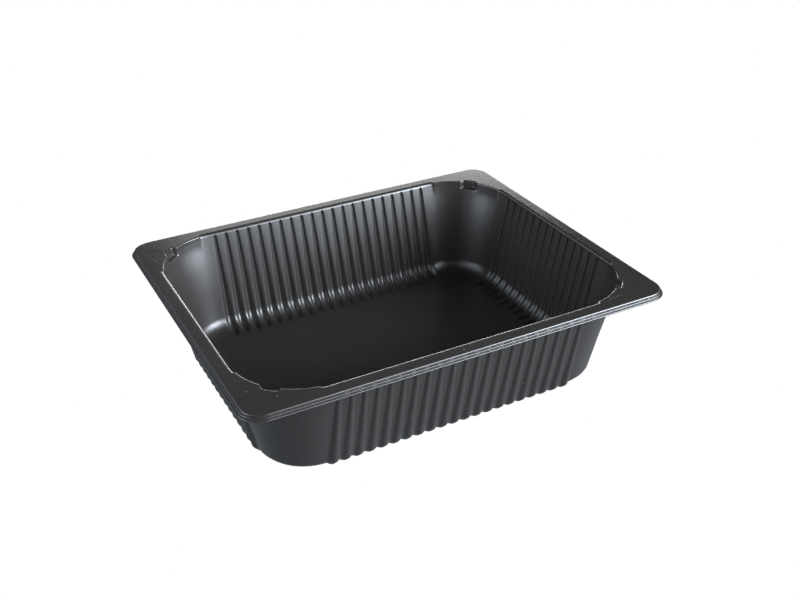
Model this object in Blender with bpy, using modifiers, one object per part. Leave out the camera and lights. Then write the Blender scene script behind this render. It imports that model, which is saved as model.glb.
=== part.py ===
"""Half-size catering tray for prepared food: a deep, fluted tray formed from one sheet of black plastic.

Run with: blender --background --python part.py, or from Blender's text editor.
Units are metres, +Z is up. The origin is the middle of the tray at the level it stands on; the long side
lies along X. The sheet is one quarter of the tray's upper face (rim steps, flange, inside of the walls,
inside of the floor). A Mirror modifier makes the other quarters, and a Solidify modifier gives the sheet
its thickness downwards and outwards.

Every ring of the sheet is found in the same way. The walls are straight up to a corner axis, so a station
of a ring is a point of the square corner at this axis plus a reach, the distance from there outwards. The
straight walls carry flutes, and the corner is a smooth cone.
"""

import bmesh
import bpy
import numpy as np
from mathutils import Vector

MM = 0.001

# Rim: size over the outer lip, and the two steps of its skirt, counted from the flange's edge outwards and down.
RIM_LENGTH = 325.0 * MM
RIM_WIDTH = 265.0 * MM
RIM_CORNER_RADIUS = 16.0 * MM
SKIRT_STEP_OUT = (0.9 * MM, 1.1 * MM)
SKIRT_STEP_DOWN = (1.9 * MM, 1.4 * MM)
LIP_HEIGHT = 1.0 * MM
FLANGE_EDGE_BEVEL = 0.8 * MM

# Mouth of the well: its outline at the flange, and the bevel that its straight sides have and its corners
# lack. The bevel runs a little way into a corner, to these directions from the X axis in degrees.
MOUTH_LENGTH = 299.9 * MM
MOUTH_WIDTH = 239.9 * MM
MOUTH_CORNER_RADIUS = 50.0 * MM
MOUTH_BEVEL = 1.8 * MM
MOUTH_BEVEL_DEPTH = 2.5 * MM
MOUTH_BEVEL_ENDS = (12.2, 82.2)
MOUTH_BEVEL_RUNOUT = 2.5

# Well: its wall starts at the mouth, leans in by these amounts on its way down, and turns into the floor.
WELL_DEPTH = 79.2 * MM
WALL_CORNER_RADIUS_TOP = 52.5 * MM
WALL_CORNER_RADIUS_FOOT = 34.9 * MM
WALL_INSET_LONG_WAY = 16.6 * MM
WALL_INSET_SHORT_WAY = 18.8 * MM
WALL_LEAN = np.radians(12.6)
FLOOR_FILLET = 9.2 * MM
FILLET_STEPS = 4
SHEET = 0.8 * MM
TOTAL_HEIGHT = 81.1 * MM

# Flutes: rounded channels that bulge outwards. Each starts narrow under the mouth and widens down the wall
# until it runs into its neighbours, turns with the floor's fillet as a foot and ends as a point on the floor.
LONG_SIDE_FLUTES = 21
SHORT_SIDE_FLUTES = 14
LONG_SIDE_PITCH = 9.45 * MM
SHORT_SIDE_PITCH = 9.5 * MM
FLUTE_STEPS = 4
FLUTE_TOP = 5.5 * MM
FLUTE_RELIEF_TOP = 1.2 * MM
FLUTE_RELIEF_FOOT = 1.7 * MM
FLUTE_BELOW_FLOOR = 0.9 * MM
FLUTE_TAIL = 9.5 * MM
FLUTE_LOBE_SHARE = 0.6
CREST_RISE = 1.0 * MM

# Lugs: a stacking pocket in the top of each corner, open at the flange, between these directions in degrees.
LUG_FROM = 38.5
LUG_TO = 55.2
LUG_SIDE = 3.3
LUG_DEPTH = 3.3 * MM
LUG_BACK_HEIGHT = 3.5 * MM
LUG_HEIGHT = 7.0 * MM

CORNER_X = LONG_SIDE_FLUTES * LONG_SIDE_PITCH / 2
CORNER_Y = SHORT_SIDE_FLUTES * SHORT_SIDE_PITCH / 2

# Directions of the stations round the corner, in degrees from the X axis: ends of the bevel, sides of the
# lug, and a few between them.
CORNER_DIRECTIONS = (
    *(0, MOUTH_BEVEL_ENDS[0], MOUTH_BEVEL_ENDS[0] + MOUTH_BEVEL_RUNOUT, 26),
    *(LUG_FROM, LUG_FROM + LUG_SIDE, (LUG_FROM + LUG_TO) / 2, LUG_TO - LUG_SIDE, LUG_TO),
    *(67, MOUTH_BEVEL_ENDS[1] - MOUTH_BEVEL_RUNOUT, MOUTH_BEVEL_ENDS[1], 90),
)


class Ring:
    """Stations of a quarter ring: up the short side from the X axis, round the corner, along the long side.

    Each has its direction, its point on the square corner at the corner axis, and its offset from the
    middle of its flute. With no flute steps, a straight side has one station, at its middle.
    """

    def __init__(self, flute_steps):
        short = side_stations(SHORT_SIDE_FLUTES, SHORT_SIDE_PITCH, flute_steps)[::-1]
        long = side_stations(LONG_SIDE_FLUTES, LONG_SIDE_PITCH, flute_steps)
        corner = np.radians(CORNER_DIRECTIONS)
        self.angle = np.concatenate([np.zeros(len(short)), corner, np.full(len(long), np.pi / 2)])
        self.out = np.column_stack([np.cos(self.angle), np.sin(self.angle)])
        core_x = CORNER_X - np.concatenate([np.zeros(len(short) + len(corner)), long])
        core_y = CORNER_Y - np.concatenate([short, np.zeros(len(corner) + len(long))])
        self.core = np.column_stack([core_x, core_y])
        flutes = np.concatenate([short / SHORT_SIDE_PITCH, np.zeros(len(corner)), long / LONG_SIDE_PITCH])
        self.fluted = flutes > 0
        self.offset = (flutes % 1.0 - 0.5) * LONG_SIDE_PITCH

    def points(self, reach, depth):
        """Points of the ring, from the reach and the depth below the flange at each station."""
        flat = self.core + self.out * reach[:, None]
        return np.column_stack([flat, np.full(len(reach), TOTAL_HEIGHT) - depth])


def side_stations(flutes, pitch, flute_steps):
    """Distances of a side's stations from the corner axis, up to the middle of the side."""
    if not flute_steps:
        return np.array([flutes * pitch / 2])
    return np.arange(1, flutes * flute_steps // 2 + 1) * pitch / flute_steps


def outline(ring, length, width, radius):
    """Reach of a rounded rectangle: to its straight side, or to its corner's circle where it has turned."""
    half = np.array([length, width]) / 2 - [CORNER_X, CORNER_Y]
    straight = np.min(half / np.maximum(ring.out, 1e-9), axis=1)
    centre = half - radius
    along = ring.out @ centre
    circle = along + np.sqrt(np.maximum(along**2 - centre @ centre + radius**2, 0))
    turned = np.all(ring.out * straight[:, None] > centre - 1e-9, axis=1)
    return np.where(turned, circle, straight)


def wall(ring, depth, inset=0.0):
    """Reach of the smooth wall at a depth, or of the outline inside it by an inset."""
    down = depth / WELL_DEPTH
    radius = WALL_CORNER_RADIUS_TOP + (WALL_CORNER_RADIUS_FOOT - WALL_CORNER_RADIUS_TOP) * down
    length = MOUTH_LENGTH - 2 * WALL_INSET_LONG_WAY * down
    width = MOUTH_WIDTH - 2 * WALL_INSET_SHORT_WAY * down
    return outline(ring, length - 2 * inset, width - 2 * inset, radius - inset)


def flute_section(offset, half_width, relief):
    """Height of a flute's section: a round lobe that runs out into a tighter hollow arc on either side.

    The two circles touch each other, so the sum of their radii follows from the half width and the relief.
    """
    radii = (half_width**2 + relief**2) / (2 * relief)
    lobe = FLUTE_LOBE_SHARE * radii
    hollow = radii - lobe
    x = np.minimum(np.abs(offset), half_width)
    on_lobe = relief - lobe + np.sqrt(np.maximum(lobe**2 - x**2, 0))
    in_hollow = hollow - np.sqrt(np.maximum(hollow**2 - (half_width - x) ** 2, 0))
    return np.where(x < half_width * FLUTE_LOBE_SHARE, on_lobe, in_hollow)


def fluted_points(ring, reach, depth, dip, half_width, relief, crest):
    """A ring whose straight sides stand out by flutes and by the crests between them.

    They stand out square to the wall, whose outer side faces downwards by the angle dip.
    """
    height = np.where(ring.fluted, flute_section(ring.offset, half_width, relief) + crest, 0.0)
    return ring.points(reach + height * np.cos(dip), depth + height * np.sin(dip))


def lug_reach(ring, depth):
    """Extra reach of the pocket: full down to the foot of its back, from where a ledge slopes in to the wall."""
    angle = np.degrees(ring.angle)
    across = np.clip(np.minimum(angle - LUG_FROM, LUG_TO - angle) / LUG_SIDE, 0, 1)
    return LUG_DEPTH * across * np.clip((LUG_HEIGHT - depth) / (LUG_HEIGHT - LUG_BACK_HEIGHT), 0, 1)


def rim_rings(ring):
    """Rings from the bottom of the outer lip, up the two steps of the skirt and over the flange to the mouth."""
    flange_edge = SKIRT_STEP_OUT[0] + SKIRT_STEP_OUT[1]
    lip_top = SKIRT_STEP_DOWN[0] + SKIRT_STEP_DOWN[1]
    section = (
        (0.0, lip_top + LIP_HEIGHT),
        (0.0, lip_top),
        (SKIRT_STEP_OUT[1], lip_top),
        (SKIRT_STEP_OUT[1], SKIRT_STEP_DOWN[0]),
        (flange_edge, SKIRT_STEP_DOWN[0]),
        (flange_edge, FLANGE_EDGE_BEVEL),
        (flange_edge + FLANGE_EDGE_BEVEL, 0.0),
    )
    for inset, depth in section:
        length = RIM_LENGTH - 2 * inset
        width = RIM_WIDTH - 2 * inset
        yield ring.points(outline(ring, length, width, RIM_CORNER_RADIUS - inset), depth)
    angle = np.degrees(ring.angle)
    bevelled = (angle < MOUTH_BEVEL_ENDS[0] + 0.1) | (angle > MOUTH_BEVEL_ENDS[1] - 0.1)
    mouth = outline(ring, MOUTH_LENGTH, MOUTH_WIDTH, MOUTH_CORNER_RADIUS)
    yield ring.points(mouth + np.where(bevelled, MOUTH_BEVEL, 0.0) + lug_reach(ring, 0.0), 0.0)


def well_rings(ring):
    """Rings down the inside of the well, from under the mouth's bevel to the end of the floor's fillet."""
    on_side = ring.fluted | (ring.angle == 0) | (ring.angle == np.pi / 2)
    depth = np.where(on_side, MOUTH_BEVEL_DEPTH, LUG_BACK_HEIGHT)
    reach = np.where(on_side, wall(ring, MOUTH_BEVEL_DEPTH), wall(ring, LUG_BACK_HEIGHT))
    yield ring.points(reach + lug_reach(ring, depth), depth)
    depth = np.where(on_side, FLUTE_TOP, LUG_HEIGHT)
    reach = np.where(on_side, wall(ring, FLUTE_TOP), wall(ring, LUG_HEIGHT))
    yield fluted_points(ring, reach, depth, WALL_LEAN, LONG_SIDE_PITCH / 4, FLUTE_RELIEF_TOP, 0.0)
    centre_inset = FLOOR_FILLET * (1 - np.sin(WALL_LEAN)) / np.cos(WALL_LEAN)
    for turn in np.linspace(0, 1, FILLET_STEPS + 1):
        dip = WALL_LEAN + turn * (np.pi / 2 - WALL_LEAN)
        reach = wall(ring, WELL_DEPTH, centre_inset - FLOOR_FILLET * np.cos(dip))
        depth = WELL_DEPTH - FLOOR_FILLET * (1 - np.sin(dip))
        relief = FLUTE_RELIEF_FOOT + (FLUTE_BELOW_FLOOR - FLUTE_RELIEF_FOOT) * turn**2
        yield fluted_points(ring, reach, depth, dip, LONG_SIDE_PITCH / 2, relief, CREST_RISE * (1 - turn**2))


def join_rings(mesh, outer, inner):
    """A band of four-sided faces between two rings with the same stations."""
    for corners in zip(outer, outer[1:], inner[1:], inner):
        mesh.faces.new(corners)


def join_mouth(mesh, outer, inner, ring):
    """Joins the mouth to the first ring of the well, which has many stations along each straight side."""
    corner = np.flatnonzero(~ring.fluted)
    first, last = corner[0], corner[-1]
    mesh.faces.new((*outer[:2], *inner[first::-1]))
    join_rings(mesh, outer[1:-1], inner[first : last + 1])
    mesh.faces.new((*outer[-2:], *inner[: last - 1 : -1]))


def close_floor(mesh, last, ring):
    """Runs each flute out to its tip on the floor, and fills the flat floor between the tips.

    The middle flute of the long side is a half one, which ends at the mirror plane.
    """
    corner = np.flatnonzero(~ring.fluted)
    level = TOTAL_HEIGHT - WELL_DEPTH
    tips = {}
    for start in (*range(0, corner[0], FLUTE_STEPS), *range(corner[-1], len(last) - 1, FLUTE_STEPS)):
        middle = start + FLUTE_STEPS // 2
        x, y = last[middle].co.xy - FLUTE_TAIL * Vector(ring.out[middle])
        tips[start] = mesh.verts.new((x, y, level))
        end = min(start + FLUTE_STEPS, len(last) - 1)
        for k in range(start, end):
            mesh.faces.new((last[k], last[k + 1], tips[start]))
    edge = [mesh.verts.new((0, 0, level))]
    for k, vertex in enumerate(last):
        if k in tips or not ring.fluted[k]:
            edge.append(vertex)
        if k in tips:
            edge.append(tips[k])
    mesh.faces.new(edge)


def quarter_sheet():
    """The upper face of a quarter of the sheet as one mesh."""
    rim_ring = Ring(0)
    well_ring = Ring(FLUTE_STEPS)
    mesh = bmesh.new()
    rim = [[mesh.verts.new(point) for point in points] for points in rim_rings(rim_ring)]
    well = [[mesh.verts.new(point) for point in points] for points in well_rings(well_ring)]
    for outer, inner in (*zip(rim, rim[1:]), *zip(well, well[1:])):
        join_rings(mesh, outer, inner)
    join_mouth(mesh, rim[-1], well[0], well_ring)
    close_floor(mesh, well[-1], well_ring)
    data = bpy.data.meshes.new("tray")
    mesh.to_mesh(data)
    mesh.free()
    return data


def black_plastic():
    """Satin black polypropylene, a little cooler than neutral."""
    material = bpy.data.materials.new("black_plastic")
    material.use_nodes = True
    shader = material.node_tree.nodes["Principled BSDF"]
    shader.inputs["Base Color"].default_value = (0.022, 0.024, 0.025, 1)
    shader.inputs["Roughness"].default_value = 0.4
    shader.inputs["Metallic"].default_value = 0.0
    return material


def build():
    for old in list(bpy.data.objects):
        bpy.data.objects.remove(old)
    collection = bpy.data.collections.new("food_tray")
    bpy.context.scene.collection.children.link(collection)
    tray = bpy.data.objects.new("tray", quarter_sheet())
    collection.objects.link(tray)
    tray.data.materials.append(black_plastic())
    tray.data.shade_smooth()
    tray.data.set_sharp_from_angle(angle=np.radians(25))
    quarters = tray.modifiers.new("quarters", "MIRROR")
    quarters.use_axis = (True, True, False)
    quarters.merge_threshold = 0.05 * MM
    sheet = tray.modifiers.new("wall_thickness", "SOLIDIFY")
    sheet.thickness = SHEET
    sheet.offset = -1
    sheet.use_even_offset = True
    sheet.use_quality_normals = True


build()
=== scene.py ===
"""Looks of the half-size food tray: a deep, fluted tray formed from one sheet of black plastic.

Lengths in the shape functions are in millimetres, and depths are counted down from the flat of the flange.
They turn into metres of the row frame when the mesh is made. The upper face is one surface on a grid, whose
stations run round the tray and whose rows run from the outer lip to the floor. The underside is another one,
with shallower flutes and a tighter fillet, set off by the sheet.
"""

import bpy
import numpy as np
from mathutils import Matrix, Vector


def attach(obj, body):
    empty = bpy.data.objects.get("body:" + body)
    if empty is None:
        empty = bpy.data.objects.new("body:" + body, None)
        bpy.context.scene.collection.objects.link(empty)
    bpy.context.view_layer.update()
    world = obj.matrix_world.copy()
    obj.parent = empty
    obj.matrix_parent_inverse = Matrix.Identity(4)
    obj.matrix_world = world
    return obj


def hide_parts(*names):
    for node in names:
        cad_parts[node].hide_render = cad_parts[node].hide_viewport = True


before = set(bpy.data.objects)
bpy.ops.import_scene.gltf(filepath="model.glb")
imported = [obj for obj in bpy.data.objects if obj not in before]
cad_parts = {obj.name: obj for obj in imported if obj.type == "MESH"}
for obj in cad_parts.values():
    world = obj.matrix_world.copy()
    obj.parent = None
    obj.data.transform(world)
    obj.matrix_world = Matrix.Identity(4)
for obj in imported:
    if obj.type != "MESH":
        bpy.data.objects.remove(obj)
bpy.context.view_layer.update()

MM = 0.001
TINY = 1e-9
TOTAL_HEIGHT = 81.1
SHEET = 0.8

# Rim: size over the outer lip, and its sections as (inset from the lip, depth, rounding). The upper one runs
# from the lip up to the flange, and the underside's from the lip to under the flange.
RIM_LENGTH, RIM_WIDTH, RIM_CORNER_RADIUS = 325.0, 265.0, 16.0
RIM_SECTION = (
    (0.0, 4.35, 0.3),
    (0.0, 3.3, 0.65),
    (1.1, 3.3, 0.05),
    (1.1, 1.9, 0.6),
    (2.0, 1.9, 0.05),
    (2.05, 0.0, 1.1),
)
RIM_UNDERSIDE = (
    (0.7, 4.35, 0.2),
    (0.7, 4.0, 0.2),
    (1.8, 4.0, 0.2),
    (1.8, 2.6, 0.2),
    (2.75, 2.6, 0.2),
    (2.8, 0.8, 0.4),
)
ARC_POINTS_PER_MM = 4

# Two rows keep the flange flat between its roundings: this far inside the lip, and outside the mouth. A
# point within the tolerance of the flange's height belongs to its flat.
FLAT_INSIDE_LIP, FLAT_OUTSIDE_MOUTH = 3.7, 0.4
FLAT_TOLERANCE = 0.01

# Mouth of the well. Its straight sides have a wide rounding and its corners a tight one. They change over at
# jogs, at these directions in degrees from the X axis. The wall flares out to meet the mouth, and in the
# corners steps back from it, down to these depths.
MOUTH_LENGTH, MOUTH_WIDTH, MOUTH_CORNER_RADIUS = 299.9, 239.9, 50.0
MOUTH_ROUNDING_SIDES = 2.5
MOUTH_ROUNDING_CORNERS = 1.0
MOUTH_JOGS = (12.2, 82.2)
MOUTH_JOG_RUN = 1.4
MOUTH_STEPS = 7
FLARE_DEPTH, STEP_DEPTH = 34.0, 12.0

# Well: a straight wall that leans in and turns into the floor with a fillet. The wall's rows are closest
# together where the ledges of the lugs are. The floor inside the tails has rings at shares of its size.
WELL_DEPTH = 79.1
WALL_CORNER_RADIUS_TOP, WALL_CORNER_RADIUS_FOOT = 54.1, 34.9
WALL_INSET_LONG_WAY, WALL_INSET_SHORT_WAY = 16.6, 18.8
WALL_LEAN = np.radians(12.6)
WALL_DEPTHS = (2.4, 3.0, 3.7, 4.5, 5.3, 5.7, 6.0, 6.8, 7.2, 9.0, 12.5, 20.0, 30.0, 44.0, 58.0)
FLOOR_FILLET_INSIDE, FLOOR_FILLET_OUTSIDE = 13.5, 9.2
FILLET_STEPS = 9
FLOOR_SHARES = (0.9, 0.55, 0.25)
UNDERSIDE_DROPS_EVERY = 3

# Flutes: channels that bulge outwards, round at the top, wider down the wall, and pointed on the floor.
# Between two of them the wall stands out to a crest. The inner face's flutes are deeper than the outer's.
LONG_SIDE_FLUTES, LONG_SIDE_PITCH = 21, 9.45
SHORT_SIDE_FLUTES, SHORT_SIDE_PITCH = 14, 9.5
FLUTE_STEPS = 8
FLUTE_START, FLUTE_FULL, FLUTE_FOOT = 2.2, 5.0, 70.0
FLUTE_HALF_WIDTH_TOP, FLUTE_HALF_WIDTH_FOOT = 1.75, 4.6
FLUTE_WIDTH_SHARE_AT_START = 0.45
FLUTE_RELIEF_TOP, FLUTE_RELIEF_FOOT, FLUTE_BELOW_FLOOR = 1.1, 1.7, 0.9
CREST_RISE = 1.0
TAIL_START_INSET, TAIL_TIP_INSET = 4.6, 17.4
TAIL_ROWS, TAIL_TIP_HALF_WIDTH, TAIL_RELIEF_POWER = 7, 0.15, 0.8
WALL_DEEPER_INSIDE, TAIL_DEEPER_INSIDE = 0.45, 0.7
LOBE_SHARE, LOBE_SHARE_ON_FLOOR = 0.47, 0.86
LEAST_RELIEF = 1e-6

# Lugs: a stacking pocket in the top of each corner, between these directions in degrees from the X axis.
LUG_FRONT = (38.0, 55.0)
LUG_BACK = (42.0, 52.4)
LUG_DEPTH, LUG_BACK_HEIGHT, LUG_HEIGHT = 3.3, 5.7, 7.0

# A side that faces along X has the short side's flutes, and one that faces along Y the long side's. The
# tray's corners turn about the corners of a rectangle with these half sizes, where the flutes end.
SIDE_FLUTES = ((SHORT_SIDE_FLUTES, SHORT_SIDE_PITCH), (LONG_SIDE_FLUTES, LONG_SIDE_PITCH))
CORNER_AXES = np.array([LONG_SIDE_FLUTES * LONG_SIDE_PITCH, SHORT_SIDE_FLUTES * SHORT_SIDE_PITCH]) / 2

# Directions of a corner's stations, in degrees from the X axis, closest together at the jogs and lug edges.
CORNER_DIRECTIONS = (
    *(3, 7, 10.5, 12.2, 12.7, 13.3, 13.8, 16, 21, 26, 31, 35.5, 37.6, 38.4, 39.7, 41.4, 42.5, 44.5, 47.2),
    *(50, 51.9, 53.0, 54.1, 54.7, 55.5, 59, 64, 70, 76, 80, 80.9, 81.5, 82.2, 83.5, 87),
)


def side_directions(quarter):
    """Outward direction of the side that is this many quarter turns from +X, and the direction along it."""
    turned = np.radians(quarter * 90.0)
    return np.array([np.cos(turned), np.sin(turned)]), np.array([-np.sin(turned), np.cos(turned)])


def fluted_side(quarter):
    """Columns of values for the stations of one side.

    A flute has a station on its boundary with the flute before, and then those of its channel, at places
    from -1 to 1. One more boundary ends the side.
    """
    count, pitch = SIDE_FLUTES[quarter % 2]
    middle = (np.arange(count) - (count - 1) / 2) * pitch
    places = np.append(0.0, np.linspace(-1, 1, FLUTE_STEPS + 1))
    boundary = np.append(-pitch / 2, np.zeros(FLUTE_STEPS + 1))
    size = count * len(places) + 1
    half_flute = len(places) // 2 + 1
    at_end = np.zeros(size, bool)
    at_end[:half_flute] = True
    at_end[-half_flute:] = True
    outward, along = side_directions(quarter)
    return {
        "angle": np.full(size, quarter * 90.0),
        "middle": np.append(np.repeat(middle, len(places)), middle[-1]),
        "place": np.append(np.tile(places, count), 0.0),
        "boundary": np.append(np.tile(boundary, count), pitch / 2),
        "at_end": at_end,
        "fluted": np.ones(size),
        "core": np.tile(outward * CORNER_AXES, (size, 1)),
        "travel": np.tile(along, (size, 1)),
    }


def plain_corner(quarter):
    """Columns of values for the stations of the corner that follows a side: directions, and no flutes."""
    turn = np.array(CORNER_DIRECTIONS)
    if quarter % 2:
        turn = 90 - turn[::-1]
    none = np.zeros(len(turn))
    outward, along = side_directions(quarter)
    return {
        "angle": quarter * 90.0 + turn,
        "middle": none,
        "place": none,
        "boundary": none,
        "at_end": none.astype(bool),
        "fluted": none,
        "core": np.tile(outward * CORNER_AXES + along * CORNER_AXES, (len(turn), 1)),
        "travel": np.zeros((len(turn), 2)),
    }


class Stations:
    """Stations of the closed ring round the tray: four fluted sides, each with the corner that follows it.

    A station has its outward direction and the point of the corner axes' rectangle that it reaches out from.
    On a side it also has the middle of its flute, and its place, from -1 to 1 across the channel, or the
    boundary between two channels. The outer halves of a side's first and last flutes are marked as at_end.
    """

    def __init__(self):
        parts = [part(quarter) for quarter in range(4) for part in (fluted_side, plain_corner)]
        columns = {name: np.concatenate([part[name] for part in parts]) for name in parts[0]}
        self.middle, self.place, self.boundary = columns["middle"], columns["place"], columns["boundary"]
        self.at_end, self.fluted = columns["at_end"], columns["fluted"]
        self.core, self.travel = columns["core"], columns["travel"]
        turned = np.radians(columns["angle"])
        self.out = np.column_stack([np.cos(turned), np.sin(turned)])
        self.folded = np.abs(self.out)
        self.from_x = np.degrees(np.arctan2(self.folded[:, 1], self.folded[:, 0]))

    def offset(self, half_width):
        """Distance of each station from the middle of its flute, for channels of this half width."""
        return np.where(self.boundary != 0, self.boundary, self.place * half_width)

    def points(self, reach, depth, half_width):
        """Points of one row: core + travel * (middle + offset) + out * reach, at a depth."""
        along = (self.middle + self.offset(half_width)) * self.fluted
        flat = self.core + self.travel * along[:, None] + self.out * np.asarray(reach)[:, None]
        return np.column_stack([flat, TOTAL_HEIGHT - np.broadcast_to(depth, len(flat))])

    def outline(self, length, width, radius):
        """Reach of a rounded rectangle: to its straight side, or to its corner's circle where it has turned.

        Directions are folded into the first quadrant. The corner's centre there is half the size less the
        radius, and the circle's reach is the far root of its quadratic along the direction.
        """
        half = np.array([length, width]) / 2 - CORNER_AXES
        straight = np.min(half / np.maximum(self.folded, TINY), axis=1)
        centre = half - radius
        along = self.folded @ centre
        circle = along + np.sqrt(np.maximum(along**2 - centre @ centre + radius**2, 0))
        turned = np.all(self.folded * straight[:, None] > centre - TINY, axis=1)
        return np.where(turned, circle, straight)


def ease(x):
    """Smooth step from 0 to 1: 3x^2 - 2x^3, held at its ends."""
    x = np.clip(x, 0, 1)
    return x * x * (3 - 2 * x)


def rounded_section(section):
    """Points (inset, depth) along a section whose corners are arcs tangent to both of their sides.

    A corner with angle a between its sides and radius r starts r / tan(a / 2) before its tip, and its centre
    is r / sin(a / 2) from the tip. Larger radii get more points.
    """
    tips = np.array([(inset, depth) for inset, depth, _ in section])
    after = np.vstack([tips[1:], tips[-1] + (1, 0)])
    before = np.vstack([tips[0] + (1, 0), tips[:-1]])
    rows = []
    for tip, back, ahead, (_, _, radius) in zip(tips, before, after, section):
        one, two = back - tip, ahead - tip
        one, two = one / np.linalg.norm(one), two / np.linalg.norm(two)
        half = np.arccos(np.clip(one @ two, -1, 1)) / 2
        centre = tip + (one + two) / np.linalg.norm(one + two) * radius / np.sin(half)
        start, end = tip + one * radius / np.tan(half), tip + two * radius / np.tan(half)
        share = np.linspace(0, 1, 2 + round(ARC_POINTS_PER_MM * radius))[:, None]
        chord = start + (end - start) * share - centre
        rows.append(centre + chord / np.linalg.norm(chord, axis=1)[:, None] * radius)
    return np.vstack(rows)


def rim_reach(stations, inset):
    """Reach of the outer lip's outline, less an inset."""
    return stations.outline(RIM_LENGTH - 2 * inset, RIM_WIDTH - 2 * inset, RIM_CORNER_RADIUS - inset)


def wall_reach(stations, depth, inset=0.0):
    """Reach of the smooth wall at a depth, less an inset: size and corner radius shrink evenly downwards."""
    down = depth / WELL_DEPTH
    radius = WALL_CORNER_RADIUS_TOP + (WALL_CORNER_RADIUS_FOOT - WALL_CORNER_RADIUS_TOP) * down
    length = MOUTH_LENGTH - 2 * WALL_INSET_LONG_WAY * down
    width = MOUTH_WIDTH - 2 * WALL_INSET_SHORT_WAY * down
    return stations.outline(length - 2 * inset, width - 2 * inset, radius - inset)


def lug_reach(stations, depth):
    """Extra reach of the pocket: full down to the foot of its back, then a ledge slopes in to the wall."""
    near = np.interp(stations.from_x, (LUG_FRONT[0], LUG_BACK[0]), (0, 1))
    far = np.interp(stations.from_x, (LUG_BACK[1], LUG_FRONT[1]), (1, 0))
    down = np.clip((LUG_HEIGHT - depth) / (LUG_HEIGHT - LUG_BACK_HEIGHT), 0, 1)
    return LUG_DEPTH * np.minimum(near, far) * down


def flute_section(offset, half_width, relief, lobe_share):
    """Height across a flute: a lobe circle that touches a hollow circle on either side.

    The circles' radii add up to (half_width^2 + relief^2) / (2 * relief), of which the lobe takes its share.
    """
    relief = np.maximum(relief, LEAST_RELIEF)
    radii = (half_width**2 + relief**2) / (2 * relief)
    lobe = lobe_share * radii
    hollow = radii - lobe
    x = np.minimum(np.abs(offset), half_width)
    on_lobe = relief - lobe + np.sqrt(np.maximum(lobe**2 - x**2, 0))
    in_hollow = hollow - np.sqrt(np.maximum(hollow**2 - (half_width - x) ** 2, 0))
    return np.where(x < half_width * lobe_share, on_lobe, in_hollow)


def fluted_row(stations, reach, depth, dip, half_width, relief, crest, lobe_share=LOBE_SHARE):
    """A row whose sides stand out by flutes and crests, square to a wall that is this dip from upright.

    At a side's ends the lobe runs down to the smooth wall and not to a crest, so it takes the crest's rise.
    """
    lobe = np.where(stations.at_end, relief + crest, relief)
    height = flute_section(stations.offset(half_width), half_width, lobe, lobe_share)
    height = (height + np.where(stations.at_end, 0, crest)) * stations.fluted
    return stations.points(reach + height * np.cos(dip), depth + height * np.sin(dip), half_width)


def flute_size(depth, deeper):
    """Half width, relief and crest of the flutes at a depth on the wall.

    They open along a quarter of an ellipse from FLUTE_START to FLUTE_FULL, and grow evenly to FLUTE_FOOT.
    """
    above_full = (FLUTE_FULL - np.clip(depth, FLUTE_START, FLUTE_FULL)) / (FLUTE_FULL - FLUTE_START)
    opening = np.sqrt(np.maximum(1 - above_full**2, 0))
    width_share = FLUTE_WIDTH_SHARE_AT_START + (1 - FLUTE_WIDTH_SHARE_AT_START) * opening
    down = np.clip((depth - FLUTE_FULL) / (FLUTE_FOOT - FLUTE_FULL), 0, 1)
    half_width = FLUTE_HALF_WIDTH_TOP + (FLUTE_HALF_WIDTH_FOOT - FLUTE_HALF_WIDTH_TOP) * down
    relief = FLUTE_RELIEF_TOP + (FLUTE_RELIEF_FOOT - FLUTE_RELIEF_TOP) * down + deeper
    return half_width * width_share, relief * opening, CREST_RISE * down


def tail_size(inset, relief):
    """Half width and relief of a flute's tail at an inset: its taper runs evenly from 1 to 0 at its tip."""
    taper = np.clip((TAIL_TIP_INSET - inset) / (TAIL_TIP_INSET - TAIL_START_INSET), 0, 1)
    return max(FLUTE_HALF_WIDTH_FOOT * taper, TAIL_TIP_HALF_WIDTH), relief * taper**TAIL_RELIEF_POWER


def mouth(stations):
    """Rounding of the mouth at each station, its tangent's share, the mouth's reach, and the wall's step.

    The wide rounding gives way to the tight one over a short run on the corner's side of each jog. On a side
    the wall's line is the mouth's outline. In a corner the rounding starts at that outline, so the wall's
    line is set in by the rounding's tangent, which is the step.
    """
    near_x = (MOUTH_JOGS[0] + MOUTH_JOG_RUN - stations.from_x) / MOUTH_JOG_RUN
    near_y = (stations.from_x - MOUTH_JOGS[1] + MOUTH_JOG_RUN) / MOUTH_JOG_RUN
    sides = np.clip(np.maximum(near_x, near_y), 0, 1)
    rounding = MOUTH_ROUNDING_CORNERS + (MOUTH_ROUNDING_SIDES - MOUTH_ROUNDING_CORNERS) * sides
    tangent = np.tan((np.pi / 2 - WALL_LEAN) / 2)
    edge = stations.outline(MOUTH_LENGTH, MOUTH_WIDTH, MOUTH_CORNER_RADIUS)
    return rounding, tangent, edge, MOUTH_ROUNDING_CORNERS * tangent * (1 - sides)


def section_rows(stations, section):
    """Rows along one of the rim's sections."""
    return [
        stations.points(rim_reach(stations, inset), depth, FLUTE_HALF_WIDTH_TOP)
        for inset, depth in rounded_section(section)
    ]


def rim_rows(stations):
    """Rows of the upper face from the lip to the flat of the flange."""
    flat = stations.points(rim_reach(stations, FLAT_INSIDE_LIP), 0.0, FLUTE_HALF_WIDTH_TOP)
    return section_rows(stations, RIM_SECTION) + [flat]


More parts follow.
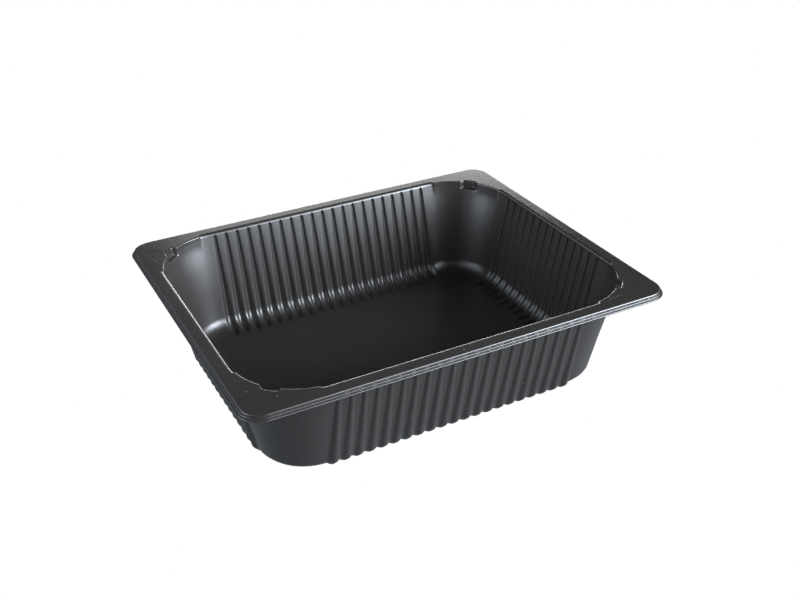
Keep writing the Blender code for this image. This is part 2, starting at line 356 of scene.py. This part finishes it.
def mouth_rows(stations, wall_deeper):
    """Rows from the flat of the flange round the mouth's arc, which is tangent to flange and wall."""
    rounding, tangent, edge, step = mouth(stations)
    line = edge - step
    flat = line + rounding * tangent + FLAT_OUTSIDE_MOUTH + lug_reach(stations, 0.0)
    rows = [stations.points(flat, 0.0, FLUTE_HALF_WIDTH_TOP)]
    for angle in np.linspace(0, np.pi / 2 - WALL_LEAN, MOUTH_STEPS):
        depth = rounding * (1 - np.cos(angle))
        reach = line + rounding * (tangent - np.sin(angle)) + lug_reach(stations, depth)
        half_width, relief, crest = flute_size(depth, wall_deeper)
        rows.append(fluted_row(stations, reach, depth, WALL_LEAN, half_width, relief, crest))
    return rows


def wall_rows(stations, wall_deeper):
    """Rows down the wall. Its top flares out to the mouth's outline, less the step, and both ease away."""
    _, _, edge, step = mouth(stations)
    flare = edge - wall_reach(stations, 0.0)
    rows = []
    for depth in WALL_DEPTHS:
        flared = flare * (1 - ease(depth / FLARE_DEPTH))
        stepped = step * (1 - ease(depth / STEP_DEPTH))
        reach = wall_reach(stations, depth) + flared - stepped + lug_reach(stations, depth)
        half_width, relief, crest = flute_size(depth, wall_deeper)
        rows.append(fluted_row(stations, reach, depth, WALL_LEAN, half_width, relief, crest))
    return rows


def fillet_rows(stations, fillet, wall_deeper, below_floor):
    """Rows round the fillet, an arc from the wall's lean to flat, and the inset at which it ends.

    The flutes change from their form on the wall to that on the floor with the square of the turn.
    """
    centre_inset = fillet * (1 - np.sin(WALL_LEAN)) / np.cos(WALL_LEAN)
    on_wall = FLUTE_RELIEF_FOOT + wall_deeper
    rows = []
    for turn in np.linspace(0, 1, FILLET_STEPS):
        dip = WALL_LEAN + turn * (np.pi / 2 - WALL_LEAN)
        inset = centre_inset - fillet * np.cos(dip)
        depth = WELL_DEPTH - fillet * (1 - np.sin(dip))
        half_width, relief = tail_size(inset, on_wall + (below_floor - on_wall) * turn**2)
        crest = CREST_RISE * (1 - turn**2)
        lobe_share = LOBE_SHARE + (LOBE_SHARE_ON_FLOOR - LOBE_SHARE) * turn**2
        reach = wall_reach(stations, WELL_DEPTH, inset)
        rows.append(fluted_row(stations, reach, depth, dip, half_width, relief, crest, lobe_share))
    return rows, centre_inset


def tail_rows(stations, start_inset, below_floor):
    """Rows of the floor from the fillet's end to the tips of the tails."""
    rows = []
    for inset in np.linspace(start_inset, TAIL_TIP_INSET, TAIL_ROWS + 1)[1:]:
        half_width, relief = tail_size(inset, below_floor)
        reach = wall_reach(stations, WELL_DEPTH, inset)
        flat = np.pi / 2
        row = fluted_row(stations, reach, WELL_DEPTH, flat, half_width, relief, 0.0, LOBE_SHARE_ON_FLOOR)
        rows.append(row)
    return rows


def well_rows(stations, fillet, wall_deeper=0.0, tail_deeper=0.0):
    """Rows of the upper face from the mouth to the floor.

    The flutes are deeper by wall_deeper on the wall, and by tail_deeper where their tails leave the fillet.
    """
    below_floor = FLUTE_BELOW_FLOOR + tail_deeper
    foot, floor_starts = fillet_rows(stations, fillet, wall_deeper, below_floor)
    tails = tail_rows(stations, floor_starts, below_floor)
    return mouth_rows(stations, wall_deeper) + wall_rows(stations, wall_deeper) + foot + tails


def grid_normals(grid):
    """Normal at each point of a ring grid: the cross product of the steps along and across the rows."""
    along = np.roll(grid, -1, axis=1) - np.roll(grid, 1, axis=1)
    across = np.gradient(grid, axis=0)
    normal = np.cross(along, across)
    length = np.linalg.norm(normal, axis=2, keepdims=True)
    return normal / np.where(length > 0, length, 1)


def well_underside(stations):
    """The outer face's well rows less SHEET times their upward normal, without every third above the tails.

    The rim's rows serve for the normals alone, because the rim's underside has a section of its own.
    """
    rim = rim_rows(stations)
    outer = np.array(rim + well_rows(stations, FLOOR_FILLET_OUTSIDE))
    normal = grid_normals(outer)
    flange_normal = normal[len(rim) - 1, 0]
    normal *= np.sign(flange_normal[2])
    well, normal = outer[len(rim) :], normal[len(rim) :]
    row = np.arange(len(well))
    dropped = row % UNDERSIDE_DROPS_EVERY == UNDERSIDE_DROPS_EVERY - 1
    kept = ~dropped | (row >= len(well) - TAIL_ROWS)
    under = well[kept] - SHEET * normal[kept]
    on_flange = well[kept][:, :, 2] > TOTAL_HEIGHT - FLAT_TOLERANCE
    under[:, :, 2] = np.where(on_flange, TOTAL_HEIGHT - SHEET, under[:, :, 2])
    return under


def sheet_surface(stations):
    """The closed shell as a grid and its two poles.

    It runs from the floor's middle over the upper face to the lip, and along the underside back to there.
    Rings of the floor shrink towards its middle, where a single point closes them.
    """
    inner = well_rows(stations, FLOOR_FILLET_INSIDE, WALL_DEEPER_INSIDE, TAIL_DEEPER_INSIDE)
    upper = np.array(rim_rows(stations) + inner)
    below = np.array(section_rows(stations, RIM_UNDERSIDE))
    under = well_underside(stations)
    shrink = np.array([(share, share, 1) for share in FLOOR_SHARES])[:, None, :]
    floor, base = upper[-1] * shrink, under[-1] * shrink
    grid = np.concatenate([floor[::-1], upper[::-1], below, under, base])
    poles = np.array([[0, 0, floor[0, 0, 2]], [0, 0, base[0, 0, 2]]])
    return grid, poles


def shell_mesh(name, grid, poles):
    """A mesh of a ring grid: quads between neighbouring rows, and a fan from each end row to its pole."""
    rows, stations = grid.shape[:2]
    index = np.arange(rows * stations).reshape(rows, stations)
    right = np.roll(index, -1, axis=1)
    quads = np.stack([index[:-1], index[1:], right[1:], right[:-1]], axis=-1).reshape(-1, 4)
    first = np.stack([np.full(stations, rows * stations), index[0], right[0]], axis=-1)
    last = np.stack([right[-1], index[-1], np.full(stations, rows * stations + 1)], axis=-1)
    vertices = np.concatenate([grid.reshape(-1, 3), poles]) * MM
    mesh = bpy.data.meshes.new(name)
    mesh.from_pydata(vertices.tolist(), [], quads.tolist() + first.tolist() + last.tolist())
    mesh.update()
    return mesh


def add_node(tree, kind, settings=None, **inputs):
    """A node with its settings and inputs.

    An input is a value, or the output socket that it is joined to. It goes by its socket's name, or by its
    number after an underscore.
    """
    node = tree.nodes.new(kind)
    for name, value in (settings or {}).items():
        setattr(node, name, value)
    for name, value in inputs.items():
        key = int(name[1:]) if name[0] == "_" else name
        if isinstance(value, bpy.types.NodeSocket):
            tree.links.new(value, node.inputs[key])
        else:
            node.inputs[key].default_value = value
    return node


def calculate(tree, operation, *values):
    """A Math node's result."""
    inputs = {f"_{place}": value for place, value in enumerate(values)}
    return add_node(tree, "ShaderNodeMath", {"operation": operation}, **inputs).outputs[0]


def mix_colours(tree, share, one, two):
    """The colour between two, by a share from 0 to 1. A Mix node's sockets 6, 7 and 2 are for colours."""
    return add_node(tree, "ShaderNodeMix", {"data_type": "RGBA"}, _0=share, _6=one, _7=two).outputs[2]


# Sheet plastic: colours, roughness, and the sizes of its marks in metres or per metre. The rim's gloss sets
# in between two heights above the floor.
BLACK = (0.0178, 0.0156, 0.0146, 1)
BLACK_WORN = (0.0205, 0.0182, 0.017, 1)
DUST = (0.42, 0.42, 0.41, 1)
PLASTIC_IOR = 1.5
WALL_ROUGHNESS, RIM_ROUGHNESS = 0.32, 0.2
RIM_STARTS, RIM_FULL = 0.0765, 0.0795
CLOUD_SCALE, CLOUD_DETAIL, CLOUD_ROUGHNESS = 28.0, 6.0, 0.06
GRAIN_SCALE, GRAIN_DETAIL, GRAIN_HEIGHT = 1400.0, 2.0, 0.000001
DUST_CELLS, DUST_SIZE, DUST_RARE = 260.0, 0.07, 0.965
SCRATCH_CELLS, SCRATCH_STRETCH, SCRATCH_WIDTH = 55.0, (1.0, 0.12, 1.0), 0.006
SCRATCH_CLOUD_SCALE, SCRATCH_RARE, SCRATCH_ROUGHNESS = 56.0, 0.6, 0.12


def speck_mask(tree, coordinates):
    """Small dust specks: the hearts of a few cells, 1 inside a speck and 0 elsewhere."""
    cells = add_node(tree, "ShaderNodeTexVoronoi", Vector=coordinates, Scale=DUST_CELLS)
    chance = add_node(tree, "ShaderNodeSeparateColor", Color=cells.outputs["Color"]).outputs[0]
    near = calculate(tree, "LESS_THAN", cells.outputs["Distance"], DUST_SIZE)
    return calculate(tree, "MULTIPLY", near, calculate(tree, "GREATER_THAN", chance, DUST_RARE))


def scratch_mask(tree, coordinates):
    """Hair scratches: the edges of long stretched cells, kept only where a cloud is dense."""
    product = {"operation": "MULTIPLY"}
    stretched = add_node(tree, "ShaderNodeVectorMath", product, _0=coordinates, _1=SCRATCH_STRETCH)
    edges = {"feature": "DISTANCE_TO_EDGE"}
    cells = add_node(tree, "ShaderNodeTexVoronoi", edges, Vector=stretched.outputs[0], Scale=SCRATCH_CELLS)
    line = calculate(tree, "LESS_THAN", cells.outputs["Distance"], SCRATCH_WIDTH)
    cloud = add_node(tree, "ShaderNodeTexNoise", Vector=coordinates, Scale=SCRATCH_CLOUD_SCALE).outputs[0]
    return calculate(tree, "MULTIPLY", line, calculate(tree, "GREATER_THAN", cloud, SCRATCH_RARE))


def satin_roughness(tree, coordinates, clouds):
    """Roughness: the wall's, lower on the rim, a little up and down by the clouds, and more on scratches."""
    height = add_node(tree, "ShaderNodeSeparateXYZ", Vector=coordinates).outputs["Z"]
    heights = {"_1": RIM_STARTS, "_2": RIM_FULL, "_3": WALL_ROUGHNESS, "_4": RIM_ROUGHNESS}
    gloss = add_node(tree, "ShaderNodeMapRange", Value=height, **heights).outputs[0]
    lowered = calculate(tree, "ADD", gloss, -CLOUD_ROUGHNESS / 2)
    clouded = calculate(tree, "MULTIPLY_ADD", clouds, CLOUD_ROUGHNESS, lowered)
    return calculate(tree, "MULTIPLY_ADD", scratch_mask(tree, coordinates), SCRATCH_ROUGHNESS, clouded)


def black_plastic():
    """Satin black sheet plastic: glossier on the rim, clouded and grained, with dust and hair scratches."""
    material = bpy.data.materials.new("satin_black_sheet")
    material.use_nodes = True
    tree = material.node_tree
    shader = tree.nodes["Principled BSDF"]
    shader.inputs["IOR"].default_value = PLASTIC_IOR
    coordinates = add_node(tree, "ShaderNodeTexCoord").outputs["Object"]
    cloud_noise = add_node(
        tree, "ShaderNodeTexNoise", Vector=coordinates, Scale=CLOUD_SCALE, Detail=CLOUD_DETAIL
    )
    clouds = cloud_noise.outputs[0]
    tone = mix_colours(tree, clouds, BLACK, BLACK_WORN)
    tree.links.new(mix_colours(tree, speck_mask(tree, coordinates), tone, DUST), shader.inputs["Base Color"])
    tree.links.new(satin_roughness(tree, coordinates, clouds), shader.inputs["Roughness"])
    grain = add_node(tree, "ShaderNodeTexNoise", Vector=coordinates, Scale=GRAIN_SCALE, Detail=GRAIN_DETAIL)
    bump = add_node(tree, "ShaderNodeBump", Strength=1.0, Distance=GRAIN_HEIGHT, Height=grain.outputs[0])
    tree.links.new(bump.outputs[0], shader.inputs["Normal"])
    return material


def tray_piece():
    """The formed sheet, in place of the plain tray. Normals weighted by face area keep its flats flat."""
    grid, poles = sheet_surface(Stations())
    mesh = shell_mesh("formed_sheet", grid, poles)
    piece = bpy.data.objects.new("formed_sheet", mesh)
    bpy.context.scene.collection.objects.link(piece)
    mesh.shade_smooth()
    piece.modifiers.new("flats_stay_flat", "WEIGHTED_NORMAL")
    mesh.materials.append(black_plastic())
    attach(piece, "root")
    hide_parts("tray")


# Camera: focal length in pixels of a frame this wide, and its place in metres. It stands back towards an
# azimuth, counted from -Y to +X, and an elevation, and is turned by its roll, all in degrees.
CAMERA_FOCAL_PIXELS = 1036.58
FRAME_WIDTH_PIXELS = 800
SENSOR_WIDTH = 36.0
CAMERA_NEAR, CAMERA_FAR = 0.01, 100.0
CAMERA_PLACE = (-0.30649, -0.61501, 0.36991 + TOTAL_HEIGHT * MM)
CAMERA_AZIMUTH, CAMERA_ELEVATION, CAMERA_ROLL = -27.2919, 30.1326, -0.9609


def camera():
    """The camera looks against the direction of its azimuth and elevation, turned about it by its roll."""
    data = bpy.data.cameras.new("camera")
    data.sensor_width = SENSOR_WIDTH
    data.lens = CAMERA_FOCAL_PIXELS * SENSOR_WIDTH / FRAME_WIDTH_PIXELS
    data.clip_start = CAMERA_NEAR
    data.clip_end = CAMERA_FAR
    piece = bpy.data.objects.new("camera", data)
    bpy.context.scene.collection.objects.link(piece)
    azimuth, elevation, roll = np.radians((CAMERA_AZIMUTH, CAMERA_ELEVATION, CAMERA_ROLL))
    level = np.cos(elevation)
    back = Vector((np.sin(azimuth) * level, -np.cos(azimuth) * level, np.sin(elevation)))
    right = Vector((0, 0, 1)).cross(back).normalized()
    up = back.cross(right)
    right, up = right * np.cos(roll) + up * np.sin(roll), up * np.cos(roll) - right * np.sin(roll)
    turn = Matrix((right, up, back)).transposed().to_4x4()
    piece.matrix_world = Matrix.Translation(Vector(CAMERA_PLACE)) @ turn
    bpy.context.scene.camera = piece


# Tent of soft panels round the tray, as rows (lowest elevation, highest elevation, number of panels). Its
# light has three soft peaks: (azimuth from +X, elevation, azimuth spread, elevation spread, brightness).
# Angles are in degrees. A panel that isn't brighter than the least isn't made.
PANEL_DISTANCE = 2.5
PANEL_TINT, CARD_TINT = (0.91, 1.0, 1.1), (1.0, 1.0, 1.0)
PANEL_ROWS = (
    (0, 8, 18),
    (8, 16, 24),
    (16, 22, 24),
    (22, 27, 30),
    (27, 34, 24),
    (34, 44, 16),
    (44, 58, 12),
)
KEY_LIGHT = (314, 19, 15.5, 12, 47)
LEFT_FILL = (176, 11, 14, 4.5, 14)
HIGH_FILL = (165, 32, 35, 12, 3.2)
SOFT_PEAKS = (KEY_LIGHT, LEFT_FILL, HIGH_FILL)
LEAST_BRIGHTNESS = 0.3

# Cards behind the tray, which light its edges and the far side of the flange, as (first azimuth, last
# azimuth, lowest elevation, highest elevation, brightness).
BACK_CARDS = (
    (30, 58, 1, 9, 6.0),
    (58, 90, 1, 10, 14.0),
    (50, 60, 18, 22, 8.5),
    (60, 80, 22, 27, 3.4),
)

FLOOR_SIZE = 24.0
FLOOR_GLOW, FLOOR_GLOW_TINT = 0.33, (0.86, 0.98, 1.1, 1)
WHITE = (1, 1, 1, 1)


def panel(azimuth, elevation, azimuth_span, elevation_span, brightness, tint):
    """A soft rectangle that faces the tray from this direction and fills these spans, all in degrees."""
    turned, raised = np.radians((azimuth, elevation))
    towards = Vector((np.cos(turned) * np.cos(raised), np.sin(turned) * np.cos(raised), np.sin(raised)))
    width = 2 * PANEL_DISTANCE * np.tan(np.radians(azimuth_span) / 2) * np.cos(raised)
    height = 2 * PANEL_DISTANCE * np.tan(np.radians(elevation_span) / 2)
    data = bpy.data.lights.new("panel", "AREA")
    data.shape = "RECTANGLE"
    data.size, data.size_y = width, height
    data.color = tint
    data.energy = brightness * width * height * np.pi
    light = bpy.data.objects.new("panel", data)
    turn = towards.to_track_quat("Z", "Y").to_matrix().to_4x4()
    light.matrix_world = Matrix.Translation(towards * PANEL_DISTANCE) @ turn
    light.visible_camera = False
    bpy.context.scene.collection.objects.link(light)


def tent_brightness(azimuth, elevation):
    """Brightness of the tent in a direction: the sum of its peaks, each a Gaussian bell in both angles."""
    brightness = 0.0
    for peak_azimuth, peak_elevation, azimuth_spread, elevation_spread, peak in SOFT_PEAKS:
        aside = (azimuth - peak_azimuth + 180) % 360 - 180
        above = elevation - peak_elevation
        brightness += peak * np.exp(-((aside / azimuth_spread) ** 2 + (above / elevation_spread) ** 2) / 2)
    return brightness


def tent():
    """The soft panels all round, each as bright as the tent is at its middle."""
    for low, high, count in PANEL_ROWS:
        span = 360 / count
        for place in range(count):
            azimuth, elevation = (place + 0.5) * span, (low + high) / 2
            brightness = tent_brightness(azimuth, elevation)
            if brightness > LEAST_BRIGHTNESS:
                panel(azimuth, elevation, span, high - low, brightness, PANEL_TINT)


def white_floor():
    """White paper: lit so brightly that it shows as plain white, with a lower glow towards the tray."""
    material = bpy.data.materials.new("white_floor")
    material.use_nodes = True
    tree = material.node_tree
    tree.nodes.clear()
    seen = add_node(tree, "ShaderNodeEmission", Color=WHITE, Strength=1.0).outputs[0]
    given = add_node(tree, "ShaderNodeEmission", Color=FLOOR_GLOW_TINT, Strength=FLOOR_GLOW).outputs[0]
    to_camera = add_node(tree, "ShaderNodeLightPath").outputs["Is Camera Ray"]
    both = add_node(tree, "ShaderNodeMixShader", _0=to_camera, _1=given, _2=seen).outputs[0]
    add_node(tree, "ShaderNodeOutputMaterial", Surface=both)
    return material


def studio_floor():
    """The plain floor that the tray stands on."""
    half = FLOOR_SIZE / 2
    corners = [(-half, -half, 0), (half, -half, 0), (half, half, 0), (-half, half, 0)]
    mesh = bpy.data.meshes.new("floor")
    mesh.from_pydata(corners, [], [(0, 1, 2, 3)])
    mesh.materials.append(white_floor())
    piece = bpy.data.objects.new("floor", mesh)
    bpy.context.scene.collection.objects.link(piece)


def studio():
    """The tent, the cards behind and the floor. The surround gives no light of its own."""
    tent()
    for left, right, low, high, brightness in BACK_CARDS:
        panel((left + right) / 2, (low + high) / 2, right - left, high - low, brightness, CARD_TINT)
    studio_floor()
    surround = bpy.data.worlds.new("surround")
    surround.use_nodes = True
    surround.node_tree.nodes["Background"].inputs["Strength"].default_value = 0.0
    bpy.context.scene.world = surround
    bpy.context.scene.view_settings.view_transform = "Standard"


tray_piece()
camera()
studio()
